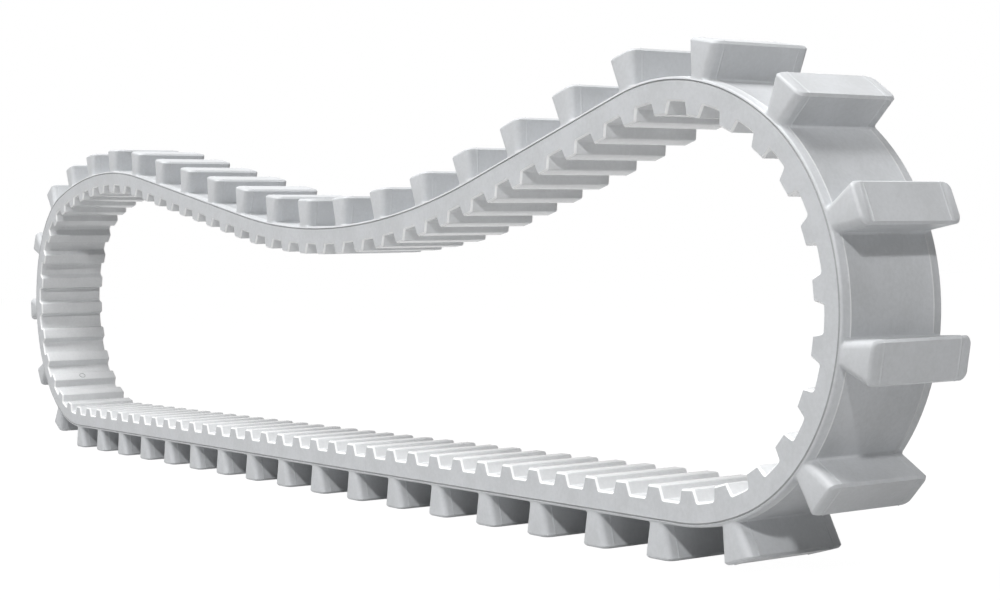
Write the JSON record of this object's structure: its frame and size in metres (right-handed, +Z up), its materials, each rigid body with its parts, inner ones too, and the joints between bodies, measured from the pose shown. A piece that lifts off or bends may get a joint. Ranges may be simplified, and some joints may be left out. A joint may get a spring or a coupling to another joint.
{
  "type": "rubber track",
  "caption": "Endless moulded rubber drive track with inner drive teeth and outer tread lugs, lying slack on its ground run.",
  "frame": {"origin": "floor level under the middle of the loop: mid-length, mid-width, at the tips of the lugs it lies on", "axes": "+X along the ground run towards the end whose bend rises to the higher shoulder, +Y across the belt's width, +Z up"},
  "size_m": [0.4264, 0.022, 0.0969],
  "materials": {
    "carcass_rubber": "light grey moulded rubber, satin",
    "tread_rubber": "light grey moulded rubber, satin",
    "cord_fibre": "twisted fibre cord"
  },
  "bodies": {
    "ground_run": {"ground_run_carcass": "carcass_rubber", "ground_run_tread": "tread_rubber", "ground_run_cords": "cord_fibre"},
    "segment_01": {"segment_01_carcass": "carcass_rubber", "segment_01_tread": "tread_rubber", "segment_01_cords": "cord_fibre"},
    "segment_02": {"segment_02_carcass": "carcass_rubber", "segment_02_tread": "tread_rubber", "segment_02_cords": "cord_fibre"},
    "segment_03": {"segment_03_carcass": "carcass_rubber", "segment_03_tread": "tread_rubber", "segment_03_cords": "cord_fibre"},
    "segment_04": {"segment_04_carcass": "carcass_rubber", "segment_04_tread": "tread_rubber", "segment_04_cords": "cord_fibre"},
    "segment_05": {"segment_05_carcass": "carcass_rubber", "segment_05_tread": "tread_rubber", "segment_05_cords": "cord_fibre"},
    "segment_06": {"segment_06_carcass": "carcass_rubber", "segment_06_tread": "tread_rubber", "segment_06_cords": "cord_fibre"},
    "segment_07": {"segment_07_carcass": "carcass_rubber", "segment_07_tread": "tread_rubber", "segment_07_cords": "cord_fibre"},
    "segment_08": {"segment_08_carcass": "carcass_rubber", "segment_08_tread": "tread_rubber", "segment_08_cords": "cord_fibre"},
    "segment_09": {"segment_09_carcass": "carcass_rubber", "segment_09_tread": "tread_rubber", "segment_09_cords": "cord_fibre"},
    "segment_10": {"segment_10_carcass": "carcass_rubber", "segment_10_tread": "tread_rubber", "segment_10_cords": "cord_fibre"},
    "segment_11": {"segment_11_carcass": "carcass_rubber", "segment_11_tread": "tread_rubber", "segment_11_cords": "cord_fibre"},
    "segment_12": {"segment_12_carcass": "carcass_rubber", "segment_12_tread": "tread_rubber", "segment_12_cords": "cord_fibre"},
    "segment_13": {"segment_13_carcass": "carcass_rubber", "segment_13_tread": "tread_rubber", "segment_13_cords": "cord_fibre"},
    "segment_14": {"segment_14_carcass": "carcass_rubber", "segment_14_tread": "tread_rubber", "segment_14_cords": "cord_fibre"},
    "segment_15": {"segment_15_carcass": "carcass_rubber", "segment_15_tread": "tread_rubber", "segment_15_cords": "cord_fibre"},
    "segment_16": {"segment_16_carcass": "carcass_rubber", "segment_16_tread": "tread_rubber", "segment_16_cords": "cord_fibre"},
    "segment_17": {"segment_17_carcass": "carcass_rubber", "segment_17_tread": "tread_rubber", "segment_17_cords": "cord_fibre"},
    "segment_18": {"segment_18_carcass": "carcass_rubber", "segment_18_tread": "tread_rubber", "segment_18_cords": "cord_fibre"},
    "segment_19": {"segment_19_carcass": "carcass_rubber", "segment_19_tread": "tread_rubber", "segment_19_cords": "cord_fibre"}
  },
  "joints": [
    {"name": "segment_01_flex", "type": "hinge", "parent": "ground_run", "child": "segment_01", "pos_m": [0.1614, 0, 0.00995], "axis": [0, -1, 0], "range_deg": [-0.31, 0.7]},
    {"name": "segment_02_flex", "type": "hinge", "parent": "segment_01", "child": "segment_02", "pos_m": [0.19672, 0, 0.02514], "axis": [0, -1, 0], "range_deg": [-1.29, 0.55]},
    {"name": "segment_03_flex", "type": "hinge", "parent": "segment_02", "child": "segment_03", "pos_m": [0.19918, 0, 0.06292], "axis": [0, -1, 0], "range_deg": [-3.08, 1.26]},
    {"name": "segment_04_flex", "type": "hinge", "parent": "segment_03", "child": "segment_04", "pos_m": [0.16636, 0, 0.08319], "axis": [0, -1, 0], "range_deg": [-2.41, 1]},
    {"name": "segment_05_flex", "type": "hinge", "parent": "segment_04", "child": "segment_05", "pos_m": [0.12706, 0, 0.07713], "axis": [0, -1, 0], "range_deg": [-0.83, 0.36]},
    {"name": "segment_06_flex", "type": "hinge", "parent": "segment_05", "child": "segment_06", "pos_m": [0.08805, 0, 0.06827], "axis": [0, -1, 0], "range_deg": [-0.263, 0.583]},
    {"name": "segment_07_flex", "type": "hinge", "parent": "segment_06", "child": "segment_07", "pos_m": [0.06832, 0, 0.06506], "axis": [0, -1, 0], "range_deg": [-0.35, 0.79]},
    {"name": "segment_08_flex", "type": "hinge", "parent": "segment_07", "child": "segment_08", "pos_m": [0.0484, 0, 0.06324], "axis": [0, -1, 0], "range_deg": [-0.51, 1.19]},
    {"name": "segment_09_flex", "type": "hinge", "parent": "segment_08", "child": "segment_09", "pos_m": [0.02841, 0, 0.06282], "axis": [0, -1, 0], "range_deg": [-0.69, 1.64]},
    {"name": "segment_10_flex", "type": "hinge", "parent": "segment_09", "child": "segment_10", "pos_m": [0.00844, 0, 0.0638], "axis": [0, -1, 0], "range_deg": [-0.9, 2.17]},
    {"name": "top_run_flex", "type": "hinge", "parent": "segment_10", "child": "segment_11", "pos_m": [-0.01142, 0, 0.06617], "axis": [0, -1, 0], "range_deg": [-1.11, 2.77], "stiffness_Nm_per_rad": 4},
    {"name": "segment_12_flex", "type": "hinge", "parent": "segment_11", "child": "segment_12", "pos_m": [-0.03108, 0, 0.06982], "axis": [0, -1, 0], "range_deg": [-0.85, 2.05]},
    {"name": "segment_13_flex", "type": "hinge", "parent": "segment_12", "child": "segment_13", "pos_m": [-0.05069, 0, 0.07374], "axis": [0, -1, 0], "range_deg": [-0.6, 1.42]},
    {"name": "segment_14_flex", "type": "hinge", "parent": "segment_13", "child": "segment_14", "pos_m": [-0.0703, 0, 0.07766], "axis": [0, -1, 0], "range_deg": [-0.54, 1.28]},
    {"name": "segment_19_flex", "type": "hinge", "parent": "ground_run", "child": "segment_19", "pos_m": [-0.1486, 0, 0.00995], "axis": [0, -1, 0], "range_deg": [-1.08, 0.46]},
    {"name": "segment_18_flex", "type": "hinge", "parent": "segment_19", "child": "segment_18", "pos_m": [-0.18717, 0, 0.01704], "axis": [0, -1, 0], "range_deg": [-0.208, 0.444]},
    {"name": "segment_17_flex", "type": "hinge", "parent": "segment_18", "child": "segment_17", "pos_m": [-0.20292, 0, 0.0516], "axis": [0, -1, 0], "range_deg": [-1.34, 3.27]},
    {"name": "segment_16_flex", "type": "hinge", "parent": "segment_17", "child": "segment_16", "pos_m": [-0.17894, 0, 0.08105], "axis": [0, -1, 0], "range_deg": [-1.22, 2.98]},
    {"name": "segment_15_flex", "type": "hinge", "parent": "segment_16", "child": "segment_15", "pos_m": [-0.13949, 0, 0.08695], "axis": [0, -1, 0], "range_deg": [-0.54, 1.27]}
  ],
  "couplings": [
    {"joint": "segment_01_flex", "follows": "top_run_flex", "ratio": 0.23611},
    {"joint": "segment_02_flex", "follows": "top_run_flex", "ratio": -0.44937},
    {"joint": "segment_03_flex", "follows": "top_run_flex", "ratio": -1.0941},
    {"joint": "segment_04_flex", "follows": "top_run_flex", "ratio": -0.85204},
    {"joint": "segment_05_flex", "follows": "top_run_flex", "ratio": -0.28278},
    {"joint": "segment_06_flex", "follows": "top_run_flex", "ratio": 0.19234},
    {"joint": "segment_07_flex", "follows": "top_run_flex", "ratio": 0.26634},
    {"joint": "segment_08_flex", "follows": "top_run_flex", "ratio": 0.4117},
    {"joint": "segment_09_flex", "follows": "top_run_flex", "ratio": 0.57447},
    {"joint": "segment_10_flex", "follows": "top_run_flex", "ratio": 0.76611},
    {"joint": "segment_12_flex", "follows": "top_run_flex", "ratio": 0.72274},
    {"joint": "segment_13_flex", "follows": "top_run_flex", "ratio": 0.49267},
    {"joint": "segment_14_flex", "follows": "top_run_flex", "ratio": 0.44405},
    {"joint": "segment_19_flex", "follows": "top_run_flex", "ratio": -0.37316},
    {"joint": "segment_18_flex", "follows": "top_run_flex", "ratio": 0.14217},
    {"joint": "segment_17_flex", "follows": "top_run_flex", "ratio": 1.1612},
    {"joint": "segment_16_flex", "follows": "top_run_flex", "ratio": 1.0581},
    {"joint": "segment_15_flex", "follows": "top_run_flex", "ratio": 0.43999}
  ]
}
